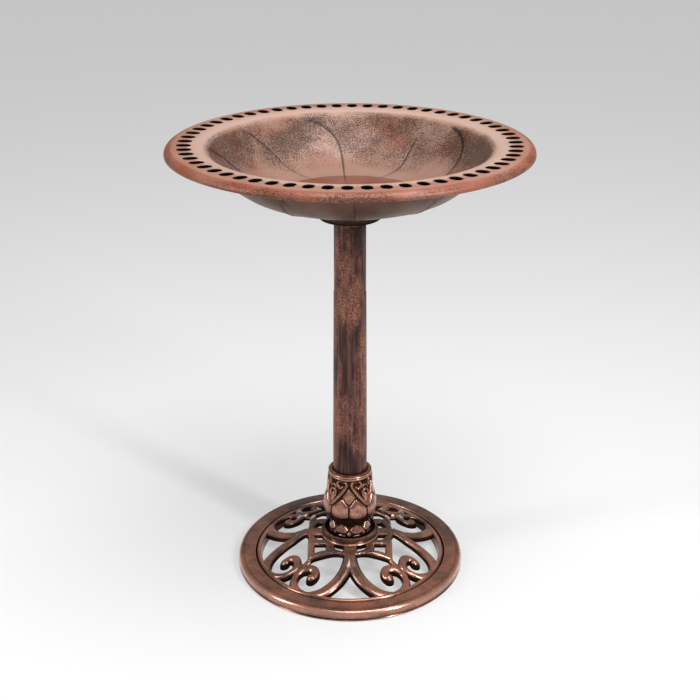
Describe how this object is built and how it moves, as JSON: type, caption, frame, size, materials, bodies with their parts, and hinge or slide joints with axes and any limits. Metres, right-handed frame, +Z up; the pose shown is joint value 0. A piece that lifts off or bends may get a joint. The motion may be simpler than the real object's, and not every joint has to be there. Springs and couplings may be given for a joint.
{
  "type": "bird bath",
  "caption": "Garden bird bath: a shallow round bowl with a slotted rim, screwed to a slim pole that stands in a leaf-patterned collar on a round openwork foot.",
  "frame": {"origin": "centre of the foot ring, on the ground", "axes": "+Z up along the pole; -Y is the front, where two ribs of the foot meet"},
  "size_m": [0.52, 0.52, 0.684],
  "materials": {
    "foot_resin": "copper bronze paint, semi-gloss, worn bright on raised edges and near black in recesses",
    "pole_resin": "brown bronze paint, satin, with coppery speckles and faint streaks",
    "bowl_resin": "pinkish copper paint, satin, with dark speckled patches",
    "inner_resin": "plain moulded dark brown",
    "zinc_steel": "zinc plated"
  },
  "bodies": {
    "stand": {"base_plate": "foot_resin", "hub_cup": "foot_resin", "leaf_collar": "foot_resin", "lower_pole": "pole_resin", "upper_pole": "pole_resin", "pole_sleeve": "inner_resin", "pole_foot_plug": "inner_resin", "base_bolt": "zinc_steel", "base_washer": "zinc_steel", "base_nut": "zinc_steel", "pole_top_socket": "inner_resin"},
    "slip_ring": {"slip_washer": "inner_resin"},
    "bowl": {"bowl": "bowl_resin", "bowl_mount": "pole_resin", "mount_screws": "zinc_steel"}
  },
  "joints": [
    {"name": "bowl_rise", "type": "slide", "parent": "stand", "child": "slip_ring", "axis": [0, 0, 1], "range_m": [0, 0.024]},
    {"name": "bowl_turn", "type": "hinge", "parent": "slip_ring", "child": "bowl", "pos_m": [0, 0, 0.573], "axis": [0, 0, 1], "range_deg": [0, 1080]}
  ],
  "couplings": [
    {"joint": "bowl_rise", "follows": "bowl_turn", "m_per_rad": 0.0012732}
  ]
}
